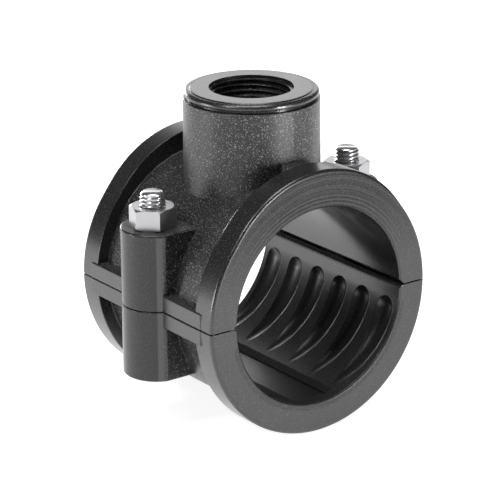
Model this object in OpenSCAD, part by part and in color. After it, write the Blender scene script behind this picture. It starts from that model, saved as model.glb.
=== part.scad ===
// Pipe saddle: two moulded halves clamp round a plastic pipe, and the upper one carries a
// threaded branch. The pipe runs along X and the branch points up along Z. The origin is
// where the two axes cross, and the halves part in the plane z = 0.

/* [Pipe, rings and shell] */
// Outside diameter of the pipe that the saddle clamps
pipe_d = 63; // [56:1:75]
// Length of the saddle along the pipe
saddle_l = 70; // [66:1:90]
// Width of the ring at each end, along the pipe
ring_w = 8.5; // [6:0.5:10]
// Thickness of an end ring, from the bore outward
ring_t = 9.75; // [8.5:0.25:12]
// Rounding of the outer edge of each end face
ring_round = 1; // [0.5:0.25:2]
// How much thicker the upper half's rings are at the crown than beside the split
crown_rise = 2.2; // [1.5:0.1:3]
// Thickness of the shell between the rings
shell_t = 5.75; // [4.5:0.25:6.5]
// Chamfer at each mouth of the pipe bore
bore_chamfer = 0.5; // [0.2:0.1:1]
// Gap that shows between the two halves when the nuts are tight
split_gap = 0.4; // [0.2:0.1:1]
// Rounding of the lower half's inner edges beside the split
lip_round = 1.4; // [0.6:0.1:1.6]
// Chamfer of the upper half's inner edges beside the split
lip_chamfer = 1.4; // [0.6:0.1:1.6]

/* [Ears and side flanges] */
// Width of an ear along the pipe
ear_w = 20.5; // [18:0.5:23]
// Radius of the rounded end of an ear, a little more than half its width
ear_end_r = 10.75; // [10.5:0.25:12]
// How far an ear reaches out past its bolt's axis
ear_reach = 10; // [9:0.5:12]
// Height of the upper ears above the split
ear_up_h = 24.5; // [20:0.5:27]
// Depth of the lower ears below the split
ear_low_h = 23; // [20:0.5:26]
// Rounding of the ears' outer edges
ear_round = 0.6; // [0.3:0.1:1]
// Plastic between the pipe bore and a bolt hole
bolt_wall = 1.9; // [1.8:0.1:3]
// Radius of the pads round the bolts on which the halves meet
pad_r = 6.5; // [6:0.25:8]
// Thickness of a side flange on each half
flange_t = 5; // [4:0.5:7]
// How far a side flange stands out past the rings
flange_proud = 0.1; // [0.1:0.1:0.6]
// How far a side flange runs onto the rings
flange_lap = 3; // [0.5:0.25:4]

/* [Branch] */
// Major diameter of the branch thread, G 3/4
thread_d = 26.441; // [24:0.001:28]
// Height of the thread form on one side
thread_depth = 1.162; // [0.8:0.001:1.4]
// Length of the threaded hole
thread_l = 20; // [14:1:22]
// Diameter of the waterway below the thread
waterway_d = 22; // [16:0.5:23]
// Plastic between the thread and the outside of the boss at its top
boss_wall = 8; // [7:0.25:10]
// How much wider the boss is at its foot, in radius
boss_draft = 0.5; // [0.2:0.1:1]
// Height of the boss top above the pipe axis
boss_top_z = 62; // [58:0.5:70]
// Height of the smooth collar at the boss top
collar_h = 3.1; // [3:0.1:4]
// How far the collar stays back from the boss
collar_back = 0.25; // [0.1:0.05:0.5]
// Height of the gap under the collar
collar_gap = 0.9; // [0.5:0.1:1]
// Depth of the gap under the collar
collar_neck = 1.1; // [0.8:0.1:1.5]
// Rounding of the collar's upper edge
collar_round = 1.2; // [0.8:0.1:1.3]
// Rounding of the collar's lower edge
collar_under = 0.5; // [0.3:0.1:0.6]
// Width of the lower rim round the flat end face
face_rim = 1.8; // [1.4:0.1:2.5]
// How far the flat end face stands above its rim
face_step = 0.25; // [0.1:0.05:0.4]
// Depth of the plain recess at the mouth of the thread
mouth_depth = 1.2; // [0.5:0.1:2]
// Width of the rib between the boss and each ring
rib_w = 8; // [5:0.5:10]
// How far the rib's top lies below the crown of the rings
rib_drop = 0.6; // [0.4:0.1:2]

/* [Seal] */
// Inside diameter of the seal round the branch
seal_in_d = 28; // [25:0.5:30]
// Width of the seal
seal_w = 4.5; // [3:0.25:5.5]
// Thickness of the seal, from the pipe outward
seal_t = 3; // [2:0.25:4]

/* [Grip grooves and channel of the lower half] */
// Number of grip grooves on each side
groove_n = 6; // [3:1:6]
// Distance between the centres of two grooves
groove_pitch = 11.6; // [10:0.1:11.6]
// Width of a groove at the bore
groove_w = 7.75; // [5:0.25:8]
// Depth of a groove
groove_depth = 1.9; // [1:0.05:2]
// Angle below the split at which the grooves begin
groove_from = 12; // [10:1:20]
// Angle below the split at which the grooves have run out into the bore
groove_to = 74; // [60:1:76]
// Width of the channel along the bottom
channel_w = 16; // [10:0.5:18]
// Depth of the channel below the bore
channel_depth = 0.8; // [0.5:0.05:1.5]
// Distance from the channel's end to the saddle's end face
channel_end = 4; // [3:0.5:6]
// Lean of the channel's sides and ends from the vertical
channel_lean = 40; // [20:1:50]
// Width and depth of the fine groove round the channel's floor
foot_groove = 0.5; // [0.3:0.1:0.8]

/* [Bolts and nuts] */
// Diameter of the bolts
bolt_d = 8; // [6:0.5:8]
// Width across the flats of the bolt heads and nuts
hex_af = 13; // [12:0.5:13]
// Height of a bolt head
head_h = 5.3; // [4:0.1:6]
// Depth of the pocket that a bolt head sits in
pocket_h = 8.5; // [7:0.5:10]
// Height of a nut
nut_h = 6.5; // [5:0.1:7]
// How far a bolt stands out above its nut
bolt_stickout = 4.5; // [3:0.25:8]
// Chamfer on a bolt's end
bolt_chamfer = 1; // [0.5:0.1:1.5]
// How far the edges of heads and nuts are turned down at the corners
hex_chamfer = 0.5; // [0.3:0.1:0.8]
// Angle at which the front nut came to rest when tight
front_nut_turn = -18; // [-30:1:30]
// Angle at which the rear nut came to rest when tight
rear_nut_turn = -6; // [-30:1:30]

/* [Clearances] */
// Play between a bolt and its holes, in diameter
hole_play = 0.4; // [0.3:0.1:0.8]
// Play between a bolt head and its pocket, across the flats
pocket_play = 0.4; // [0.2:0.1:0.8]
// Play between a bolt and the bore of its nut, in diameter
nut_play = 0.2; // [0.1:0.1:0.4]

/* [Hidden] */

$fn = 96;

// Overlap that keeps a cut or a joint clear of a shared face
eps = 0.5;

bore_r = pipe_d / 2;
ring_r = bore_r + ring_t;
end_x = saddle_l / 2;
ring_x = end_x - ring_w;
hole_r = (bolt_d + hole_play) / 2;
bolt_y = bore_r + bolt_wall + hole_r;
ear_out_y = bolt_y + ear_reach;
ear_end_y = ear_out_y - ear_end_r;
flange_y = ring_r + flange_proud;

thread_r = thread_d / 2;
thread_minor_r = thread_r - thread_depth;
boss_r = thread_r + boss_wall;
boss_foot_r = boss_r + boss_draft;
collar_r = boss_r - collar_back;
seal_in_r = seal_in_d / 2;
seal_out_r = seal_in_r + seal_w;
seal_back_r = bore_r + seal_t;

nut_z = ear_up_h;
head_seat_z = pocket_h - ear_low_h;
bolt_top_z = nut_z + nut_h + bolt_stickout;

// The outline of an upper ring: from the split up to the angle crown_from, whose sine is
// crown_sine, it is the ring's own circle, then comes a straight run, and over the crown an
// arc round a centre at crown_z
crown_sine = 0.6;
crown_from = asin(crown_sine);
crown_z = crown_rise / (1 - crown_sine);
crown_run = crown_z * cos(crown_from);
crown_inset = crown_z * crown_sine;
crown_r = ring_r - crown_inset;
crown_top_z = ring_r + crown_rise;

// A groove is a ring-shaped cut of round section. The ring's centre is moved to the side, so
// that the cut is full below the split and has run out where the groove ends. A ball rounds
// its upper end.
groove_r = (pow(groove_w / 2, 2) + pow(groove_depth, 2)) / (2 * groove_depth);
groove_first = groove_from + asin(groove_w / 2 / bore_r);
groove_shift = groove_depth / (cos(groove_first) - cos(groove_to));
groove_path_r = bore_r - groove_r - groove_shift * cos(groove_to);

// Height of the channel's floor, how high the shape that cuts the channel reaches above that,
// and how far a side leans out for each millimetre of height
channel_floor_z = -bore_r - channel_depth;
channel_rise = 4;
channel_spread = tan(channel_lean);

plastic = [0.19, 0.19, 0.2];
zinc = [0.78, 0.78, 0.8];
rubber = [0.07, 0.07, 0.07];

// Places its children at the two bolts, at y = -bolt_y and y = bolt_y
module at_both_bolts() {
    for (side = [-1, 1])
        translate([0, side * bolt_y, 0])
            children();
}

// Turns a shape that stands on Z so that it lies along X
module along_x() {
    rotate([90, 0, 90])
        children();
}

// Section of an end ring: a rectangle from outer_r inward, its end corner rounded
module ring_section(outer_r, depth) {
    difference() {
        translate([outer_r - depth, ring_x])
            square([depth, ring_w]);
        difference() {
            translate([outer_r - ring_round, end_x - ring_round])
                square([ring_round + eps, ring_round + eps]);
            translate([outer_r - ring_round, end_x - ring_round])
                circle(r = ring_round);
        }
    }
}

// An end ring of the lower half, round all the way
module plain_ring() {
    rotate_extrude()
        ring_section(ring_r, ring_t);
}

// An end ring of the upper half, thicker at the crown. Each side is an arc down past the split,
// the straight run, and an arc up past the crown
module raised_ring() {
    depth = ring_t + crown_rise + eps;
    past = 5;
    for (side = [0, 1])
        mirror([side, 0, 0])
            rotate([0, 0, crown_from]) {
                mirror([0, 1, 0])
                    rotate_extrude(angle = crown_from + past)
                        ring_section(ring_r, depth);
                translate([0, crown_run, 0]) {
                    rotate([90, 0, 0])
                        linear_extrude(crown_run)
                            ring_section(ring_r, depth);
                    translate([crown_inset, 0, 0])
                        rotate_extrude(angle = 90 - crown_from + past)
                            ring_section(crown_r, depth);
                }
            }
}

// The shell of the full round clamp before it is parted
module shell_round() {
    along_x()
        rotate_extrude()
            translate([bore_r, -ring_x - eps])
                square([shell_t, 2 * (ring_x + eps)]);
}

// The pipe's own space, with a chamfer at each mouth
module bore_cut() {
    along_x() {
        cylinder(r = bore_r, h = saddle_l + 2 * eps, center = true);
        for (flip = [0, 1])
            mirror([0, 0, flip])
                translate([0, 0, end_x - bore_chamfer])
                    cylinder(r1 = bore_r, r2 = bore_r + bore_chamfer + eps,
                             h = bore_chamfer + eps);
    }
}

// Outline of an ear in height and half width, its top corner rounded
module ear_section(half_w, height) {
    square([half_w, height - ear_round]);
    square([half_w - ear_round, height]);
    translate([half_w - ear_round, height - ear_round])
        circle(r = ear_round, $fn = 32);
}

// One ear from the split upward: flat sides that run into the shell, and a rounded end
module ear(height) {
    inner_y = bore_r / 2;
    intersection() {
        translate([0, -inner_y, 0])
            rotate([90, 0, 0])
                linear_extrude(ear_out_y - inner_y + eps) {
                    ear_section(ear_w / 2, height);
                    mirror([1, 0])
                        ear_section(ear_w / 2, height);
                }
        union() {
            translate([0, -ear_end_y, 0])
                rotate_extrude()
                    ear_section(ear_end_r, height);
            translate([-ear_w, -ear_end_y, 0])
                cube([2 * ear_w, ear_end_y, height]);
        }
    }
}

// Both ears and both side flanges of one half, upward from the split
module clamping_sides(height) {
    for (side = [0, 1])
        mirror([0, side, 0]) {
            ear(height);
            translate([-ring_x - flange_lap, -flange_y, 0])
                cube([2 * (ring_x + flange_lap), flange_y - bore_r, flange_t]);
        }
}

// What the split takes from one half: a thin layer, apart from the pads round the bolts
module split_cut() {
    difference() {
        translate([-saddle_l, -2 * ear_out_y, -eps])
            cube([2 * saddle_l, 4 * ear_out_y, eps + split_gap / 2]);
        at_both_bolts()
            cylinder(r = pad_r, h = split_gap);
    }
    translate([-saddle_l, -2 * ear_out_y, -2 * ring_r])
        cube([2 * saddle_l, 4 * ear_out_y, 2 * ring_r]);
}

// Outer form of one half, upward from the split, before its bore and holes. Its child is the
// end ring of this half
module half_blank(height) {
    difference() {
        union() {
            shell_round();
            clamping_sides(height);
            for (end = [0, 1])
                mirror([end, 0, 0])
                    along_x()
                        children();
        }
        split_cut();
    }
}

// Boss of the branch: a slightly tapered drum, a neck, and a smooth collar with an end face
module branch_boss() {
    drum_top = boss_top_z - collar_h;
    cylinder(r1 = boss_foot_r, r2 = boss_r, h = drum_top);
    translate([0, 0, drum_top - eps])
        cylinder(r = collar_r - collar_neck, h = collar_gap + 2 * eps);
    translate([0, 0, drum_top + collar_gap])
        rotate_extrude()
            collar_section(collar_h - collar_gap - face_step);
    translate([0, 0, drum_top])
        cylinder(r = collar_r - face_rim, h = collar_h);
}

// Section of the collar, its outer corners rounded
module collar_section(height) {
    shoulder = height - collar_round;
    square([collar_r - collar_under, shoulder]);
    square([collar_r - collar_round, height]);
    translate([0, collar_under])
        square([collar_r, shoulder - collar_under]);
    translate([collar_r - collar_under, collar_under])
        circle(r = collar_under);
    intersection() {
        translate([collar_r - collar_round, shoulder])
            circle(r = collar_round);
        translate([0, shoulder])
            square([collar_r, collar_round]);
    }
}

// Rib from the boss to the ring at +X
module boss_rib() {
    translate([0, -rib_w / 2, seal_back_r])
        cube([ring_x + eps, rib_w, crown_top_z - rib_drop - seal_back_r]);
}

// The hole of the branch: thread at its minor diameter, its mouth, and the waterway
module branch_cut() {
    translate([0, 0, boss_top_z - thread_l])
        cylinder(r = thread_minor_r, h = thread_l + eps);
    translate([0, 0, boss_top_z - mouth_depth])
        cylinder(r = thread_r, h = mouth_depth + eps);
    cylinder(r = waterway_d / 2, h = boss_top_z);
}

// A curved washer round the branch that follows the pipe, between two radii of the pipe axis
module saddle_washer(inner_r, outer_r) {
    intersection() {
        difference() {
            cylinder(r = seal_out_r, h = outer_r + eps);
            translate([0, 0, -eps])
                cylinder(r = seal_in_r, h = outer_r + 3 * eps);
        }
        along_x()
            difference() {
                cylinder(r = outer_r, h = saddle_l, center = true);
                cylinder(r = inner_r, h = saddle_l + 2 * eps, center = true);
            }
    }
}

module upper_half() {
    color(plastic)
        difference() {
            union() {
                half_blank(ear_up_h)
                    raised_ring();
                branch_boss();
                boss_rib();
                mirror([1, 0, 0])
                    boss_rib();
            }
            bore_cut();
            lip_bevel();
            branch_cut();
            saddle_washer(bore_r - eps, seal_back_r);
            at_both_bolts()
                translate([0, 0, -eps])
                    cylinder(r = hole_r, h = ear_up_h + 2 * eps);
        }
}

// One grip groove on the +Y side of the lower half, centred on x = 0
module grip_groove() {
    translate([0, groove_shift, 0]) {
        rotate([90, 0, 90])
            rotate([0, 0, -90])
                rotate_extrude(angle = 90 - groove_first)
                    translate([groove_path_r, 0])
                        circle(r = groove_r, $fn = 32);
        rotate([-groove_first, 0, 0])
            translate([0, groove_path_r, 0])
                sphere(r = groove_r, $fn = 32);
    }
}

// All grip grooves of the lower half
module grip_grooves() {
    for (side = [0, 1], i = [0 : groove_n - 1])
        mirror([0, side, 0])
            translate([(i - (groove_n - 1) / 2) * groove_pitch, 0, 0])
                grip_groove();
}

// Outline of the channel across or along, its floor reaching floor_half to each side and its
// sides leaning outward
module channel_outline(floor_half) {
    top_half = floor_half + channel_rise * channel_spread;
    top_z = channel_floor_z + channel_rise;
    polygon([[-floor_half, channel_floor_z], [floor_half, channel_floor_z],
             [top_half, top_z], [-top_half, top_z]]);
}

// Shallow channel along the bottom of the bore, with a fine groove round its floor
module bottom_channel() {
    side_edge_z = -sqrt(pow(bore_r, 2) - pow(channel_w / 2, 2));
    floor_w = channel_w / 2 - (side_edge_z - channel_floor_z) * channel_spread;
    floor_l = end_x - channel_end - channel_depth * channel_spread;
    intersection() {
        along_x()
            linear_extrude(saddle_l, center = true)
                channel_outline(floor_w);
        rotate([90, 0, 0])
            linear_extrude(2 * channel_w, center = true)
                channel_outline(floor_l);
    }
    translate([0, 0, channel_floor_z - foot_groove])
        linear_extrude(foot_groove + eps)
            difference() {
                square([2 * floor_l, 2 * floor_w], center = true);
                square([2 * (floor_l - foot_groove), 2 * (floor_w - foot_groove)], center = true);
            }
}

// What rounds the lower half's inner edges beside the split
module lip_cut() {
    edge_z = -split_gap / 2;
    for (side = [0, 1])
        mirror([0, side, 0])
            along_x()
                linear_extrude(saddle_l + 2 * eps, center = true)
                    difference() {
                        translate([bore_r - eps, edge_z - lip_round])
                            square([lip_round + eps, lip_round + split_gap]);
                        translate([bore_r + lip_round, edge_z - lip_round])
                            circle(r = lip_round, $fn = 48);
                    }
}

// What chamfers the upper half's inner edges beside the split
module lip_bevel() {
    edge_z = split_gap / 2;
    for (side = [0, 1])
        mirror([0, side, 0])
            along_x()
                linear_extrude(saddle_l + 2 * eps, center = true)
                    polygon([[bore_r - eps, edge_z + lip_chamfer + eps],
                             [bore_r - eps, -split_gap],
                             [bore_r + lip_chamfer + edge_z + split_gap, -split_gap]]);
}

// A hexagonal prism with two of its flats facing the pipe
module hex_prism(across_flats, height) {
    cylinder(d = across_flats / cos(30), h = height, $fn = 6);
}

module lower_half() {
    color(plastic)
        difference() {
            mirror([0, 0, 1])
                half_blank(ear_low_h)
                    plain_ring();
            bore_cut();
            lip_cut();
            grip_grooves();
            bottom_channel();
            at_both_bolts() {
                translate([0, 0, -ear_low_h - eps])
                    cylinder(r = hole_r, h = ear_low_h + 2 * eps);
                translate([0, 0, -ear_low_h - eps])
                    hex_prism(hex_af + pocket_play, pocket_h + eps);
            }
        }
}

module branch_seal() {
    color(rubber)
        saddle_washer(bore_r, seal_back_r);
}

// A hexagon whose corners are turned down to a cone at its top, and at its bottom if asked
module turned_hexagon(height, both_ends) {
    corner_r = hex_af / 2 / cos(30);
    rise = hex_chamfer;
    intersection() {
        hex_prism(hex_af, height);
        union() {
            translate([0, 0, both_ends ? rise : 0])
                cylinder(r = corner_r, h = height - (both_ends ? 2 : 1) * rise);
            translate([0, 0, height - rise])
                cylinder(r1 = corner_r, r2 = corner_r - 2 * rise, h = rise);
            if (both_ends)
                cylinder(r1 = corner_r - 2 * rise, r2 = corner_r, h = rise);
        }
    }
}

// A bolt from its head in the pocket up to its chamfered end
module bolt() {
    color(zinc) {
        translate([0, 0, head_seat_z])
            mirror([0, 0, 1])
                turned_hexagon(head_h, false);
        translate([0, 0, head_seat_z - eps])
            cylinder(d = bolt_d, h = bolt_top_z - bolt_chamfer - head_seat_z + eps);
        translate([0, 0, bolt_top_z - bolt_chamfer])
            cylinder(d1 = bolt_d, d2 = bolt_d - 2 * bolt_chamfer, h = bolt_chamfer);
    }
}

module front_bolt() {
    translate([0, -bolt_y, 0])
        bolt();
}

module rear_bolt() {
    translate([0, bolt_y, 0])
        bolt();
}

// A nut that stands on its upper ear, turned by an angle as it was left when tight
module nut(turn) {
    color(zinc)
        rotate([0, 0, turn])
            translate([0, 0, nut_z])
                difference() {
                    turned_hexagon(nut_h, true);
                    translate([0, 0, -eps])
                        cylinder(d = bolt_d + nut_play, h = nut_h + 2 * eps);
                }
}

module front_nut() {
    translate([0, -bolt_y, 0])
        nut(front_nut_turn);
}

module rear_nut() {
    translate([0, bolt_y, 0])
        nut(rear_nut_turn);
}

upper_half();
lower_half();
branch_seal();
front_bolt();
rear_bolt();
front_nut();
rear_nut();
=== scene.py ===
import math

import bmesh
import bpy
from mathutils import Matrix, Vector


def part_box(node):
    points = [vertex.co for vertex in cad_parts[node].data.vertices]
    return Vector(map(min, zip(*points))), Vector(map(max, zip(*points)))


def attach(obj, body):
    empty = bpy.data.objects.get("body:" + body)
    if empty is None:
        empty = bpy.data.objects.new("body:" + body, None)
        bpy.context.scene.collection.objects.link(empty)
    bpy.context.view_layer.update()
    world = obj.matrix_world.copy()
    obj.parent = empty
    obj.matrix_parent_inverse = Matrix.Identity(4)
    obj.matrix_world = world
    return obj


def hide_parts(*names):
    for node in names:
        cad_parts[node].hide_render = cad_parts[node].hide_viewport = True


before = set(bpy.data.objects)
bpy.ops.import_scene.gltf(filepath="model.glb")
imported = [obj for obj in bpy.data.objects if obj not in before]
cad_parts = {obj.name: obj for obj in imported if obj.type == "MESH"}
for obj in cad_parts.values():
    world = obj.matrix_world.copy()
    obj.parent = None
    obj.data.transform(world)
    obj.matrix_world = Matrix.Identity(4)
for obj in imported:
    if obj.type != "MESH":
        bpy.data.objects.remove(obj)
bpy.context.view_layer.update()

bl_info = {
    "name": "Pipe Saddle",
    "version": (1, 0, 0),
    "blender": (4, 5, 0),
    "location": "View3D > Sidebar > Saddle",
    "description": "Dresses the two moulded halves, seal, bolts and nuts of a pipe saddle",
    "category": "Object",
}

MM = 0.001
SHARP_ANGLE = math.radians(32)

# Points closer than this, in metres, become one
WELD = 1e-7

# Places that the solids fix, in metres
PIPE_R = 31.5 * MM
RING_R = 41.25 * MM
RING_INNER_X = 26.5 * MM
END_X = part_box("upper_half")[1][0]
BRANCH_TOP_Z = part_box("upper_half")[1][2]
BOLT_Y = (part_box("rear_bolt")[0][1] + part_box("rear_bolt")[1][1]) / 2
BOLT_TOP_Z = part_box("rear_bolt")[1][2]
BOLT_BOTTOM_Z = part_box("rear_bolt")[0][2]

# Finish of the plastic, in metres. SEAM is the width over which one finish passes into the next,
# COLLAR_H the height of the smooth collar on the boss, LIP_FROM how far from the branch's axis the
# collar's lip begins, and SPLIT_BAND the smooth band of the lower bore below the split. Edges are
# rounded off by EDGE_ROUNDING, by LIP_ROUNDING more on the lip and less at the mouth of the hole
SEAM = 0.4 * MM
COLLAR_H = 3.2 * MM
LIP_FROM = 16 * MM
SPLIT_BAND = 6 * MM
EDGE_ROUNDING = 0.55 * MM
LIP_ROUNDING = 0.35 * MM

# Height of the noise above which the grain has a pale tip, a painted glint, and how much less the
# end faces shine: all over, under the turning marks of the upper half, and in the marks themselves
GLINT_TIPS_FROM = 0.61
END_FACE_DULLER = 0.17
TURNED_DULLER = 0.18
MARKS_DULLER = 0.33
# How much the lower bore is rougher, and shines less, where the grip grooves are
GROOVES_ROUGHER = 0.1
GROOVES_DULLER = 0.2


class SaddleThreads(bpy.types.PropertyGroup):
    """Sizes of the branch thread and of the bolt threads"""

    branch_major_d: bpy.props.FloatProperty(
        name="Branch thread", description="Major diameter of the thread in the branch",
        default=26.441 * MM, unit="LENGTH")
    branch_depth: bpy.props.FloatProperty(
        name="Branch thread depth", description="Height of the branch thread's form",
        default=1.162 * MM, unit="LENGTH")
    branch_pitch: bpy.props.FloatProperty(
        name="Branch pitch", description="Distance between two turns of the branch thread",
        default=1.814 * MM, unit="LENGTH")
    branch_recess: bpy.props.FloatProperty(
        name="Branch recess", description="Depth of the plain recess above the branch thread",
        default=1.2 * MM, unit="LENGTH")
    branch_length: bpy.props.FloatProperty(
        name="Branch hole", description="Depth of the threaded hole from the branch's end face",
        default=20 * MM, unit="LENGTH")
    bolt_d: bpy.props.FloatProperty(
        name="Bolt", description="Diameter of a bolt", default=8 * MM, unit="LENGTH")
    bolt_pitch: bpy.props.FloatProperty(
        name="Bolt pitch", description="Distance between two turns of the bolt's thread",
        default=1.25 * MM, unit="LENGTH")
    bolt_thread_length: bpy.props.FloatProperty(
        name="Bolt thread", description="Length of the thread on a bolt",
        default=22 * MM, unit="LENGTH")


class SaddleLooks(bpy.types.PropertyGroup):
    """Colours and surface grain of the plastic, the zinc and the rubber"""

    plastic: bpy.props.FloatVectorProperty(
        name="Plastic", description="Colour of the moulded halves", subtype="COLOR",
        default=(0.013, 0.013, 0.0133), min=0, max=1)
    grain_size: bpy.props.FloatProperty(
        name="Grain size", description="Size of the spark-eroded grain on the shell and boss",
        default=0.42 * MM, unit="LENGTH")
    grain_depth: bpy.props.FloatProperty(
        name="Grain depth", description="Height of the spark-eroded grain",
        default=0.06 * MM, unit="LENGTH")
    # Strength of the painted glints: pale specks on the grain that stand in for glints of light
    painted_glint_tips: bpy.props.FloatProperty(
        name="Tips", description="How many times paler the tips of the grain are than the plastic",
        default=24.0, min=0, max=40)
    # Share of these painted glints that the smooth faces show
    smooth_glint_share: bpy.props.FloatProperty(
        name="Mottle", description="Share of the grain that the smooth faces show",
        default=0.16, min=0, max=1, subtype="FACTOR")
    smooth_roughness: bpy.props.FloatProperty(
        name="Smooth roughness", description="Roughness of the polished faces",
        default=0.25, min=0, max=1, subtype="FACTOR")
    grain_roughness: bpy.props.FloatProperty(
        name="Grain roughness", description="Roughness of the grained faces",
        default=0.36, min=0, max=1, subtype="FACTOR")
    smooth_shine: bpy.props.FloatProperty(
        name="Smooth shine", description="Strength of the shine on the polished faces",
        default=0.9, min=0, max=1, subtype="FACTOR")
    grain_shine: bpy.props.FloatProperty(
        name="Grain shine", description="Strength of the shine on grained faces and ear ends",
        default=0.5, min=0, max=1, subtype="FACTOR")
    # The bolts' zinc is painted lighter and the nuts' darker: two shades of one zinc plate that
    # stand in for how the light falls on them
    zinc: bpy.props.FloatVectorProperty(
        name="Bolt zinc", description="Colour of the bolts", subtype="COLOR",
        default=(0.66, 0.66, 0.675), min=0, max=1)
    nut_zinc_painted_darker: bpy.props.FloatVectorProperty(
        name="Nut zinc", description="Colour of the nuts", subtype="COLOR",
        default=(0.42, 0.42, 0.43), min=0, max=1)
    rubber: bpy.props.FloatVectorProperty(
        name="Rubber", description="Colour of the seal", subtype="COLOR",
        default=(0.02, 0.02, 0.02), min=0, max=1)


class SaddleStage(bpy.types.PropertyGroup):
    """Camera, lamps and backdrop"""

    azimuth: bpy.props.FloatProperty(
        name="Azimuth", description="Direction of the camera round the saddle",
        default=math.radians(53.668), subtype="ANGLE")
    elevation: bpy.props.FloatProperty(
        name="Elevation", description="Height of the camera above the pipe's axis",
        default=math.radians(19.423), subtype="ANGLE")
    roll: bpy.props.FloatProperty(
        name="Roll", description="Turn of the camera about its own line of sight",
        default=math.radians(-0.4025), subtype="ANGLE")
    distance: bpy.props.FloatProperty(
        name="Distance", description="Distance from the camera to the saddle",
        default=836.62 * MM, unit="LENGTH")
    lens: bpy.props.FloatProperty(
        name="Lens", description="Focal length on a 36 mm sensor, in millimetres",
        default=190.59)
    aim_right: bpy.props.FloatProperty(
        name="Aim right", description="How far right of the origin the camera aims",
        default=-0.833 * MM, unit="LENGTH")
    aim_up: bpy.props.FloatProperty(
        name="Aim up", description="How far above the origin the camera aims",
        default=8.006 * MM, unit="LENGTH")
    floor_z: bpy.props.FloatProperty(
        name="Floor", description="Height of the floor that the saddle stands on",
        default=-41.3 * MM, unit="LENGTH")
    background: bpy.props.FloatProperty(
        name="Background", description="Brightness of the world on the saddle",
        default=0.08, min=0, max=2)


class Wiring:
    """Adds nodes to one material and joins them by short calls"""

    def __init__(self, name):
        self.material = bpy.data.materials.new(name)
        self.material.use_nodes = True
        self.nodes = self.material.node_tree.nodes
        self.links = self.material.node_tree.links
        self.shader = self.nodes["Principled BSDF"]

    def feed(self, socket, value):
        """A socket takes a link from another socket, or a plain value"""
        if isinstance(value, bpy.types.NodeSocket):
            self.links.new(value, socket)
        else:
            socket.default_value = value

    def node(self, kind, settings=(), output=0, **inputs):
        """A node with its settings and inputs; gives its output socket"""
        made = self.nodes.new("ShaderNode" + kind)
        for key, value in dict(settings).items():
            setattr(made, key, value)
        for key, value in inputs.items():
            self.feed(made.inputs[key.replace("_", " ")], value)
        return made.outputs[output]

    def maths(self, operation, a, b=0.0, clamp=False):
        """One sum of two values"""
        made = self.nodes.new("ShaderNodeMath")
        made.operation = operation
        made.use_clamp = clamp
        self.feed(made.inputs[0], a)
        self.feed(made.inputs[1], b)
        return made.outputs[0]

    def product(self, first, *others):
        """All values multiplied"""
        for other in others:
            first = self.maths("MULTIPLY", first, other)
        return first

    def line(self, value, factor, offset):
        """value times factor, plus offset"""
        return self.maths("ADD", self.maths("MULTIPLY", value, factor), offset)

    def inverse(self, mask):
        """1 where mask is 0, and 0 where it is 1"""
        return self.maths("SUBTRACT", 1.0, mask)

    def above(self, value, limit, soft=SEAM):
        """Rises from 0 to 1 as value passes limit, over the width soft"""
        return self.maths("DIVIDE", self.maths("SUBTRACT", value, limit - soft / 2), soft, True)

    def axes(self, vector):
        """The three numbers of a vector"""
        split = self.nodes.new("ShaderNodeSeparateXYZ")
        self.feed(split.inputs[0], vector)
        return split.outputs

    def distance(self, a, b):
        """Distance from an axis, by the two numbers across it"""
        return self.maths("SQRT", self.maths("ADD", self.product(a, a), self.product(b, b)))

    def noise(self, place, size, detail=2.0, roughness=0.5):
        """Soft noise whose blots are about size across"""
        return self.node("TexNoise", Vector=place, Scale=1 / size, Detail=detail,
                         Roughness=roughness)

    def rounded(self, radius):
        """Normals that round off the edges by radius"""
        return self.node("Bevel", settings={"samples": 6}, Radius=radius)

    def bump(self, height, distance, strength, **more):
        """Normals of a relief that is distance deep"""
        return self.node("Bump", Height=height, Distance=distance, Strength=strength, **more)

    def shaded(self, colour, shade):
        """The shader's colour, made lighter or darker by shade"""
        self.feed(self.shader.inputs["Base Color"],
                  self.node("VectorMath", settings={"operation": "SCALE"},
                            Vector=tuple(colour), Scale=shade))


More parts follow.
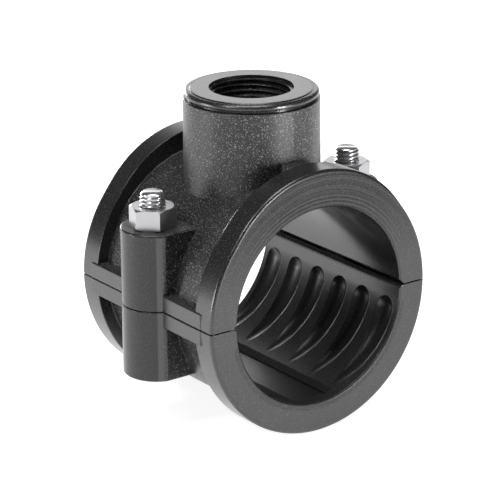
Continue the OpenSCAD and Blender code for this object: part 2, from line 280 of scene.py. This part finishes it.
def moulded_plastic(looks, name, lower):
    """Black plastic: spark-eroded grain on shell and boss, smooth rings, ear ends and bore"""
    w = Wiring(name)
    place = w.node("TexCoord", output=3)
    x, y, z = w.axes(place)
    off_pipe, off_branch = w.distance(y, z), w.distance(x, y)
    along, across = w.maths("ABSOLUTE", x), w.maths("ABSOLUTE", y)
    facing_side = w.maths("ABSOLUTE", w.axes(w.node("NewGeometry", output=3))[1])

    # Where each finish lies, from 0 to 1
    between_rings = w.inverse(w.above(along, RING_INNER_X - 0.3 * MM))
    outside = w.above(off_pipe, PIPE_R + 2.5 * MM, 0.5 * MM)
    ear_side = w.product(w.above(across, RING_R - 2.2 * MM), w.above(facing_side, 0.35, 0.2))
    ear_end = w.above(across, RING_R + 1.5 * MM)
    end_face = w.above(along, END_X - 0.3 * MM, 0.2 * MM)
    bore = w.inverse(w.above(off_pipe, PIPE_R + 0.7 * MM))
    collar = w.above(z, BRANCH_TOP_Z - COLLAR_H, 0.3 * MM)
    lip = w.above(off_branch, LIP_FROM, MM)
    grained = w.product(between_rings, outside, w.inverse(ear_side), w.inverse(collar))
    if lower:
        grooves = w.product(w.inverse(w.above(off_pipe, PIPE_R + 2.2 * MM, 0.3 * MM)),
                            w.above(w.maths("MULTIPLY", z, -1.0), SPLIT_BAND, 2 * MM))
        grained = w.maths("MAXIMUM", grained, w.maths("MULTIPLY", grooves, 0.1))
    polished = w.inverse(w.maths("MAXIMUM", grained, ear_end))

    # Edges, the grain and the slow waves of a moulding
    lip_or_mouth = w.product(collar, w.line(lip, 2.0, -1.0))
    edges = w.rounded(w.line(lip_or_mouth, LIP_ROUNDING, EDGE_ROUNDING))
    grain = w.noise(place, looks.grain_size, 3.0, 0.6)
    fine_grain = w.noise(place, looks.grain_size / 2, 1.0)
    grain_bump = w.bump(w.line(fine_grain, 0.5, grain), looks.grain_depth, grained, Normal=edges)
    waves = w.bump(w.noise(place, 9 * MM, 2.0), 0.06 * MM, 0.35, Normal=grain_bump)
    w.feed(w.shader.inputs["Normal"], waves)

    # Colour, with faint clouds and pale tips on the grain that are painted glints
    cloud = w.noise(place, 14 * MM, 3.0)
    painted_glint_tips = w.product(w.above(grain, GLINT_TIPS_FROM, 0.1),
                     w.line(grained, 1 - looks.smooth_glint_share, looks.smooth_glint_share))
    w.shaded(looks.plastic, w.line(painted_glint_tips, looks.painted_glint_tips, w.line(cloud, 0.4, 0.8)))

    rough = w.line(grained, looks.grain_roughness - looks.smooth_roughness,
                   w.line(cloud, 0.08, looks.smooth_roughness - 0.04))
    rough = w.line(bore, -looks.smooth_roughness / 6, rough)
    shine = w.line(polished, looks.smooth_shine - looks.grain_shine, looks.grain_shine)
    duller = END_FACE_DULLER
    if lower:
        rough = w.line(grooves, GROOVES_ROUGHER, rough)
        shine = w.line(grooves, -GROOVES_DULLER, shine)
    else:
        # Dark turning marks round the pipe's axis, towards the crown
        marks = w.above(w.noise(w.node("CombineXYZ", X=off_pipe), 0.6 * MM, 2.0), 0.5, 0.2)
        duller = w.line(w.line(marks, MARKS_DULLER, TURNED_DULLER),
                        w.above(z, 20 * MM, 24 * MM), END_FACE_DULLER)
    w.feed(w.shader.inputs["Roughness"], rough)
    w.feed(w.shader.inputs["Specular IOR Level"],
           w.maths("SUBTRACT", shine, w.maths("MULTIPLY", end_face, duller)))
    return w.material


def zinc_plate(name, colour, roughness):
    """Zinc plate with fine drawing marks and faint clouds"""
    w = Wiring(name)
    place = w.node("TexCoord", output=3)
    marks = w.noise(w.node("Mapping", Vector=place, Scale=(1.0, 1.0, 0.12)), 0.25 * MM, 3.0)
    cloud = w.noise(place, 3 * MM, 3.0)
    w.feed(w.shader.inputs["Normal"],
           w.bump(marks, 0.01 * MM, 0.5, Normal=w.rounded(0.2 * MM)))
    w.shaded(colour, w.line(cloud, 0.2, 0.9))
    w.feed(w.shader.inputs["Roughness"], w.line(cloud, 0.16, roughness))
    w.shader.inputs["Metallic"].default_value = 1.0
    return w.material


def seal_rubber(looks):
    """Dull black rubber with a fine moulded grain"""
    w = Wiring("seal_rubber")
    place = w.node("TexCoord", output=3)
    w.feed(w.shader.inputs["Normal"], w.bump(w.noise(place, 0.3 * MM, 3.0), 0.02 * MM, 0.4))
    w.shaded(looks.rubber, w.line(w.noise(place, 4 * MM), 0.5, 0.75))
    w.shader.inputs["Roughness"].default_value = 0.7
    return w.material


def wear(obj, material):
    """The piece's one finish"""
    obj.data.materials.clear()
    obj.data.materials.append(material)


def add_piece(name, mesh):
    """A new object of the scene with this mesh"""
    obj = bpy.data.objects.new(name, mesh)
    bpy.context.scene.collection.objects.link(obj)
    return obj


def mesh_from(name, bm):
    """A new mesh from bm, its faces turned outward and its sharp edges kept"""
    bmesh.ops.remove_doubles(bm, verts=bm.verts, dist=WELD)
    bmesh.ops.dissolve_degenerate(bm, edges=bm.edges, dist=WELD)
    bmesh.ops.recalc_face_normals(bm, faces=bm.faces)
    mesh = bpy.data.meshes.new(name)
    bm.to_mesh(mesh)
    bm.free()
    mesh.shade_smooth()
    mesh.set_sharp_from_angle(angle=SHARP_ANGLE)
    return mesh


def welded_copy(node):
    """A copy of a CAD node's mesh as bmesh, its seams closed"""
    bm = bmesh.new()
    bm.from_mesh(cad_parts[node].data)
    bmesh.ops.remove_doubles(bm, verts=bm.verts, dist=10 * WELD)
    return bm


# A thread's outline over one pitch: share of the pitch, share of the way from root to crest
METRIC_FORM = ((0.0, 0.0), (0.12, 0.0), (0.44, 1.0), (0.56, 1.0), (0.88, 0.0))
PIPE_FORM = ((0.0, 0.0), (0.08, 0.04), (0.4, 0.92), (0.46, 1.0), (0.54, 1.0), (0.6, 0.92),
             (0.92, 0.04))
# Depth of the metric thread as a share of its pitch, and how far the cutting thread's crest
# stands out of the bolt's plain surface
METRIC_DEPTH = 0.61
CREST_PLAY = 0.01 * MM
# Steps in one turn of a thread
BOLT_STEPS = 64
BRANCH_STEPS = 96


def helix_strip(bm, z_low, z_high, pitch, root_r, crest_r, form, steps):
    """Winds a thread's outline, form, round Z, from below z_low to above z_high"""
    turns = math.ceil((z_high - z_low) / pitch) + 2
    rows = []
    for step in range(turns * steps + 1):
        angle = 2 * math.pi * step / steps
        base = z_low + pitch * (step / steps - 2)
        row = []
        for share, lift in form + ((1.0, form[0][1]),):
            r = root_r + (crest_r - root_r) * lift
            row.append(bm.verts.new((r * math.cos(angle), r * math.sin(angle),
                                     base + share * pitch)))
        rows.append(row)
    for low, high in zip(rows, rows[1:]):
        for i in range(len(low) - 1):
            bm.faces.new((low[i], high[i], high[i + 1], low[i + 1]))
    bmesh.ops.remove_doubles(bm, verts=bm.verts, dist=WELD)


def trim(bm, z, keep_above):
    """Cuts bm at height z. Gives the edges of the open rim"""
    everything = bm.verts[:] + bm.edges[:] + bm.faces[:]
    bmesh.ops.bisect_plane(bm, geom=everything, dist=WELD / 10, plane_co=(0, 0, z),
                           plane_no=(0, 0, 1), clear_inner=keep_above,
                           clear_outer=not keep_above)
    return [e for e in bm.edges if e.is_boundary and all(abs(v.co.z - z) < WELD for v in e.verts)]


def grow_rim(bm, rim, radius, rise=0.0):
    """Runs an open rim to a radius and by rise along Z. Gives the new rim"""
    made = bmesh.ops.extrude_edge_only(bm, edges=rim)["geom"]
    for v in [g for g in made if isinstance(g, bmesh.types.BMVert)]:
        scale = radius / math.hypot(v.co.x, v.co.y)
        v.co.x *= scale
        v.co.y *= scale
        v.co.z += rise
    return [g for g in made if isinstance(g, bmesh.types.BMEdge)]


def bolt_cutter(threads, z_low, z_high):
    """A closed rod with the bolt's thread from z_low to z_high, and a wide plain drum below it
    that leaves the shank and the head as they are"""
    crest_r = threads.bolt_d / 2 + CREST_PLAY
    root_r = crest_r - METRIC_DEPTH * threads.bolt_pitch
    drum_r = 2 * threads.bolt_d
    bm = bmesh.new()
    helix_strip(bm, z_low, z_high, threads.bolt_pitch, root_r, crest_r, METRIC_FORM, BOLT_STEPS)
    top = trim(bm, z_high, False)
    bottom = grow_rim(bm, trim(bm, z_low, True), drum_r)
    bottom = grow_rim(bm, bottom, drum_r, BOLT_BOTTOM_Z - MM - z_low)
    bmesh.ops.holes_fill(bm, edges=top + bottom, sides=0)
    return bm


def common_mesh(name, blank, tool):
    """The mesh of what blank and tool share"""
    body = add_piece(name + "_blank", mesh_from(name + "_blank", blank))
    cutter = add_piece(name + "_tool", mesh_from(name + "_tool", tool))
    cut = body.modifiers.new("cut", "BOOLEAN")
    cut.object = cutter
    cut.operation = "INTERSECT"
    cut.solver = "EXACT"
    bpy.context.view_layer.update()
    ready = body.evaluated_get(bpy.context.evaluated_depsgraph_get())
    bm = bmesh.new()
    bm.from_mesh(ready.to_mesh())
    ready.to_mesh_clear()
    for spare in (body, cutter):
        mesh = spare.data
        bpy.data.objects.remove(spare)
        bpy.data.meshes.remove(mesh)
    if not bm.faces:
        raise RuntimeError(name + " came out empty")
    return mesh_from(name, bm)


def branch_surface(threads):
    """The wall of the threaded hole, from the waterway's step up to the recess at its mouth"""
    major_r = threads.branch_major_d / 2
    minor_r = major_r - threads.branch_depth
    z_low = BRANCH_TOP_Z - threads.branch_length
    z_high = BRANCH_TOP_Z - threads.branch_recess
    bm = bmesh.new()
    helix_strip(bm, z_low, z_high, threads.branch_pitch, minor_r, major_r, PIPE_FORM,
                BRANCH_STEPS)
    grow_rim(bm, trim(bm, z_high, False), major_r)
    grow_rim(bm, trim(bm, z_low, True), minor_r)
    bmesh.ops.remove_doubles(bm, verts=bm.verts, dist=WELD)
    bmesh.ops.recalc_face_normals(bm, faces=bm.faces)
    middle = bm.faces[len(bm.faces) // 2]
    centre = middle.calc_center_median()
    if middle.normal.x * centre.x + middle.normal.y * centre.y > 0:
        bmesh.ops.reverse_faces(bm, faces=bm.faces)
    for edge in bm.edges:
        edge.smooth = edge.calc_face_angle(0.0) < SHARP_ANGLE
    for face in bm.faces:
        face.smooth = True
    return bm, minor_r, major_r, z_low, z_high


def upper_half_mesh(threads):
    """The upper half's own mesh with the plain wall of its branch hole changed for the thread"""
    thread, minor_r, major_r, z_low, z_high = branch_surface(threads)
    slack = 0.02 * MM

    def plain_wall(v):
        r = math.hypot(v.co.x, v.co.y)
        return z_low - slack < v.co.z < z_high + slack and minor_r - slack < r < major_r + slack

    def goes(face):
        flat_step = all(abs(v.co.z - z_low) < slack for v in face.verts)
        return all(plain_wall(v) for v in face.verts) and not flat_step

    bm = bmesh.new()
    bm.from_mesh(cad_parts["upper_half"].data)
    bmesh.ops.delete(bm, geom=[f for f in bm.faces if goes(f)], context="FACES")
    wall = bpy.data.meshes.new("branch_wall")
    thread.to_mesh(wall)
    thread.free()
    bm.from_mesh(wall)
    bpy.data.meshes.remove(wall)
    mesh = bpy.data.meshes.new("upper_half_threaded")
    bm.to_mesh(mesh)
    bm.free()
    return mesh


class SADDLE_OT_upper_half(bpy.types.Operator):
    """Cuts the branch thread into a copy of the upper half and finishes the plastic"""

    bl_idname = "saddle.upper_half"
    bl_label = "Upper half"

    def execute(self, context):
        scene = context.scene
        piece = add_piece("upper_half_threaded", upper_half_mesh(scene.saddle_threads))
        wear(piece, moulded_plastic(scene.saddle_looks, "plastic_upper", False))
        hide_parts("upper_half")
        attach(piece, "upper_clamp")
        return {"FINISHED"}


class SADDLE_OT_lower_half(bpy.types.Operator):
    """Finishes the plastic of the lower half"""

    bl_idname = "saddle.lower_half"
    bl_label = "Lower half"

    def execute(self, context):
        wear(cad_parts["lower_half"],
             moulded_plastic(context.scene.saddle_looks, "plastic_lower", True))
        return {"FINISHED"}


class SADDLE_OT_seal(bpy.types.Operator):
    """Finishes the rubber seal round the waterway"""

    bl_idname = "saddle.seal"
    bl_label = "Seal"

    def execute(self, context):
        wear(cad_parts["branch_seal"], seal_rubber(context.scene.saddle_looks))
        return {"FINISHED"}


class SADDLE_OT_bolts(bpy.types.Operator):
    """Cuts the metric thread into copies of the two bolts and plates them with zinc"""

    bl_idname = "saddle.bolts"
    bl_label = "Bolts"

    def execute(self, context):
        scene = context.scene
        threads = scene.saddle_threads
        thread_start = BOLT_TOP_Z - threads.bolt_thread_length
        # Zinc painted lighter than the nuts', standing in for the light on the bolts
        plate = zinc_plate("bolt_plate", scene.saddle_looks.zinc, 0.2)
        for node, y in (("front_bolt", -BOLT_Y), ("rear_bolt", BOLT_Y)):
            cutter = bolt_cutter(threads, thread_start, BOLT_TOP_Z + MM)
            bmesh.ops.translate(cutter, verts=cutter.verts, vec=(0.0, y, 0.0))
            name = node + "_threaded"
            piece = add_piece(name, common_mesh(name, welded_copy(node), cutter))
            wear(piece, plate)
            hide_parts(node)
            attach(piece, "lower_clamp")
        return {"FINISHED"}


class SADDLE_OT_nuts(bpy.types.Operator):
    """Plates the two nuts with zinc"""

    bl_idname = "saddle.nuts"
    bl_label = "Nuts"

    def execute(self, context):
        # Zinc painted darker than the bolts', standing in for the shade on the nuts
        plate = zinc_plate("nut_plate", context.scene.saddle_looks.nut_zinc_painted_darker, 0.26)
        for node in ("front_nut", "rear_nut"):
            wear(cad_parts[node], plate)
        return {"FINISHED"}


def floor_material():
    """Pale floor that the camera sees as white, with the saddle's soft shadow kept"""
    w = Wiring("pale_floor")
    w.shader.inputs["Base Color"].default_value = FLOOR_GREY
    w.shader.inputs["Roughness"].default_value = 0.9
    w.shader.inputs["Specular IOR Level"].default_value = 0.1
    path = w.nodes.new("ShaderNodeLightPath")
    mirrored = w.maths("MAXIMUM", path.outputs["Is Glossy Ray"],
                       path.outputs["Is Transmission Ray"])
    w.feed(w.shader.inputs["Emission Strength"],
           w.line(path.outputs["Is Camera Ray"], FLOOR_WHITENING,
                  w.maths("MULTIPLY", mirrored, FLOOR_IN_MIRRORS)))
    w.shader.inputs["Emission Color"].default_value = WHITE
    return w.material


def add_lamp(name, place, width, height, watts):
    """A soft rectangular lamp at place that shines at the origin"""
    data = bpy.data.lights.new(name, "AREA")
    data.shape = "RECTANGLE"
    data.size = width
    data.size_y = height
    data.energy = watts
    lamp = bpy.data.objects.new(name, data)
    bpy.context.scene.collection.objects.link(lamp)
    lamp.location = place
    lamp.rotation_euler = (-Vector(place)).to_track_quat("-Z", "Y").to_euler()


def camera_axes(azimuth, elevation, roll):
    """The camera's right, up and backward directions"""
    right = Vector((math.cos(azimuth), math.sin(azimuth), 0.0))
    back = Vector((math.sin(azimuth) * math.cos(elevation),
                   -math.cos(azimuth) * math.cos(elevation), math.sin(elevation)))
    up = back.cross(right)
    return (right * math.cos(roll) + up * math.sin(roll),
            up * math.cos(roll) - right * math.sin(roll), back)


# Name, turn from the camera to its right in degrees, distance from the saddle, height, width and
# height of the lamp's face, watts
LAMPS = (("overhead", 0, 0.05, 0.9, 0.45, 0.45, 4.0),
         ("key", -44, 0.5, 0.62, 0.2, 0.2, 1.8),
         ("left_strip", -79, 0.7, 0.04, 0.22, 0.16, 1.5),
         ("right_strip", 54, 0.7, 0.04, 0.1, 0.16, 3.8),
         ("back_left_strip", -152, 0.9, 0.1, 0.4, 0.2, 3.0),
         ("back_softbox", 180, 1.0, 0.36, 0.9, 0.4, 2.0))
# Half the floor's side in metres, its own colour, and the strengths that make it white to the
# camera and in what mirrors it
FLOOR_REACH = 3.0
FLOOR_GREY = (0.75, 0.75, 0.75, 1.0)
FLOOR_WHITENING = 0.85
FLOOR_IN_MIRRORS = 1.0
WHITE = (1.0, 1.0, 1.0, 1.0)


class SADDLE_OT_stage(bpy.types.Operator):
    """Sets the camera, the lamps, the world and the pale floor"""

    bl_idname = "saddle.stage"
    bl_label = "Stage"

    def execute(self, context):
        scene = context.scene
        stage = scene.saddle_stage
        scene.view_settings.view_transform = "Standard"

        right, up, back = camera_axes(stage.azimuth, stage.elevation, stage.roll)
        data = bpy.data.cameras.new("camera")
        data.sensor_width = 36.0
        data.lens = stage.lens
        camera = bpy.data.objects.new("camera", data)
        scene.collection.objects.link(camera)
        place = back * stage.distance + right * stage.aim_right + up * stage.aim_up
        facing = Matrix((right, up, back)).transposed().to_4x4()
        camera.matrix_world = Matrix.Translation(place) @ facing
        scene.camera = camera

        bm = bmesh.new()
        bmesh.ops.create_grid(bm, x_segments=1, y_segments=1, size=FLOOR_REACH)
        floor_mesh = bpy.data.meshes.new("floor")
        bm.to_mesh(floor_mesh)
        bm.free()
        floor = add_piece("floor", floor_mesh)
        floor.location.z = stage.floor_z
        wear(floor, floor_material())

        towards_camera = math.atan2(back.y, back.x)
        for name, turn, reach, height, width, tall, watts in LAMPS:
            angle = towards_camera + math.radians(turn)
            place = (reach * math.cos(angle), reach * math.sin(angle), height)
            add_lamp(name, place, width, tall, watts)

        world = bpy.data.worlds.new("world")
        world.use_nodes = True
        scene.world = world
        nodes, links = world.node_tree.nodes, world.node_tree.links
        light_path = nodes.new("ShaderNodeLightPath")
        seen = nodes.new("ShaderNodeMath")
        seen.operation = "MAXIMUM"
        links.new(light_path.outputs["Is Camera Ray"], seen.inputs[0])
        links.new(light_path.outputs["Is Transmission Ray"], seen.inputs[1])
        strength = nodes.new("ShaderNodeMapRange")
        links.new(seen.outputs[0], strength.inputs["Value"])
        strength.inputs["To Min"].default_value = stage.background
        strength.inputs["To Max"].default_value = 1.0
        links.new(strength.outputs[0], nodes["Background"].inputs["Strength"])
        nodes["Background"].inputs["Color"].default_value = WHITE
        return {"FINISHED"}


class SADDLE_PT_panel(bpy.types.Panel):
    """Lists the saddle's pieces and sizes in the sidebar"""

    bl_label = "Pipe Saddle"
    bl_idname = "SADDLE_PT_panel"
    bl_space_type = "VIEW_3D"
    bl_region_type = "UI"
    bl_category = "Saddle"

    def draw(self, context):
        for operator in OPERATORS:
            self.layout.operator(operator.bl_idname)
        for group_name, group in GROUPS.items():
            box = self.layout.box()
            for name in group.__annotations__:
                box.prop(getattr(context.scene, group_name), name)


GROUPS = {"saddle_threads": SaddleThreads, "saddle_looks": SaddleLooks,
          "saddle_stage": SaddleStage}
OPERATORS = (SADDLE_OT_upper_half, SADDLE_OT_lower_half, SADDLE_OT_seal, SADDLE_OT_bolts,
             SADDLE_OT_nuts, SADDLE_OT_stage)


def register():
    for cls in (*GROUPS.values(), *OPERATORS, SADDLE_PT_panel):
        bpy.utils.register_class(cls)
    for name, group in GROUPS.items():
        setattr(bpy.types.Scene, name, bpy.props.PointerProperty(type=group))


def unregister():
    for name in GROUPS:
        delattr(bpy.types.Scene, name)
    for cls in reversed((*GROUPS.values(), *OPERATORS, SADDLE_PT_panel)):
        bpy.utils.unregister_class(cls)


def main():
    """Makes every piece and the stage"""
    register()
    bpy.ops.saddle.upper_half()
    bpy.ops.saddle.lower_half()
    bpy.ops.saddle.seal()
    bpy.ops.saddle.bolts()
    bpy.ops.saddle.nuts()
    bpy.ops.saddle.stage()


if __name__ == "__main__":
    main()
